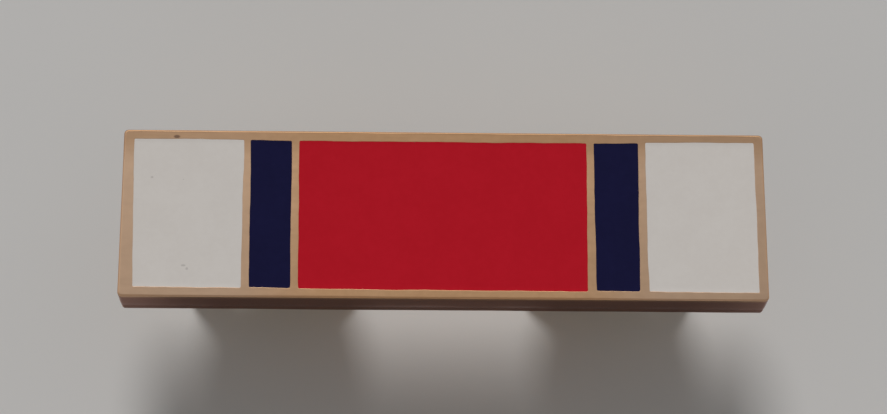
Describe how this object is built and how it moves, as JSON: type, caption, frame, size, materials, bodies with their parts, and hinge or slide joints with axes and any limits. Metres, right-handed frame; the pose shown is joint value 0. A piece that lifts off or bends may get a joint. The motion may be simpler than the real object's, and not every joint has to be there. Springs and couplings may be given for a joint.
{
  "type": "enamelled ribbon bar",
  "caption": "Flat rectangular service ribbon bar in gilt metal with coloured enamel cells, worn on cloth by round pins held with squeeze-to-release butterfly clutches.",
  "frame": {"origin": "centre of the bar's flat back face", "axes": "+Z out of the enamelled face, +X along the bar to the viewer's right, +Y up the bar as worn; the pins and clutches are on the -Z side"},
  "size_m": [0.035, 0.0105, 0.01],
  "materials": {
    "gilt_bar": "pale gold plate, satin, fine polishing marks",
    "gilt_post": "gold plate",
    "enamel_white": "opaque warm white enamel, stoned flush and polished",
    "enamel_navy": "opaque navy enamel, stoned flush and polished",
    "enamel_red": "opaque crimson enamel, stoned flush and polished",
    "solder": "silver solder, flowed",
    "clutch_brass": "bright pressed brass",
    "spring_bronze": "spring strip, lightly brushed"
  },
  "bodies": {
    "bar": {"bar_body": "gilt_bar", "enamel_white_left": "enamel_white", "enamel_navy_left": "enamel_navy", "enamel_red_centre": "enamel_red", "enamel_navy_right": "enamel_navy", "enamel_white_right": "enamel_white", "post_left": "gilt_post", "post_right": "gilt_post", "solder_left": "solder", "solder_right": "solder"},
    "disc_left": {"clutch_disc_left": "clutch_brass"},
    "spring_left": {"clutch_saddle_left": "spring_bronze"},
    "wing_tongue_left": {"clutch_wing_tongue_left": "spring_bronze"},
    "wing_slotted_left": {"clutch_wing_slotted_left": "spring_bronze"},
    "disc_right": {"clutch_disc_right": "clutch_brass"},
    "spring_right": {"clutch_saddle_right": "spring_bronze"},
    "wing_tongue_right": {"clutch_wing_tongue_right": "spring_bronze"},
    "wing_slotted_right": {"clutch_wing_slotted_right": "spring_bronze"}
  },
  "joints": [
    {"name": "clutch_left_slide", "type": "slide", "parent": "bar", "child": "disc_left", "axis": [0, 0, -1], "range_m": [-0.0018, 0.008]},
    {"name": "clutch_left_swivel", "type": "hinge", "parent": "disc_left", "child": "spring_left", "pos_m": [-0.0095, 0.0009, -0.0026], "axis": [0, 0, -1], "continuous": true},
    {"name": "clutch_left_squeeze_tongue", "type": "hinge", "parent": "spring_left", "child": "wing_tongue_left", "pos_m": [-0.0066, 0.0009, -0.00344], "axis": [0, -1, 0], "range_deg": [0, 9], "stiffness_Nm_per_rad": 0.15, "springref_deg": -1.15},
    {"name": "clutch_left_squeeze_slotted", "type": "hinge", "parent": "spring_left", "child": "wing_slotted_left", "pos_m": [-0.0124, 0.0009, -0.00344], "axis": [0, 1, 0], "range_deg": [0, 9], "stiffness_Nm_per_rad": 0.15, "springref_deg": -1.15},
    {"name": "clutch_right_slide", "type": "slide", "parent": "bar", "child": "disc_right", "axis": [0, 0, -1], "range_m": [-0.0018, 0.008]},
    {"name": "clutch_right_swivel", "type": "hinge", "parent": "disc_right", "child": "spring_right", "pos_m": [0.0095, 0.0009, -0.0026], "axis": [0, 0, -1], "continuous": true},
    {"name": "clutch_right_squeeze_tongue", "type": "hinge", "parent": "spring_right", "child": "wing_tongue_right", "pos_m": [0.0066, 0.0009, -0.00344], "axis": [0, 1, 0], "range_deg": [0, 9], "stiffness_Nm_per_rad": 0.15, "springref_deg": -1.15},
    {"name": "clutch_right_squeeze_slotted", "type": "hinge", "parent": "spring_right", "child": "wing_slotted_right", "pos_m": [0.0124, 0.0009, -0.00344], "axis": [0, -1, 0], "range_deg": [0, 9], "stiffness_Nm_per_rad": 0.15, "springref_deg": -1.15}
  ]
}
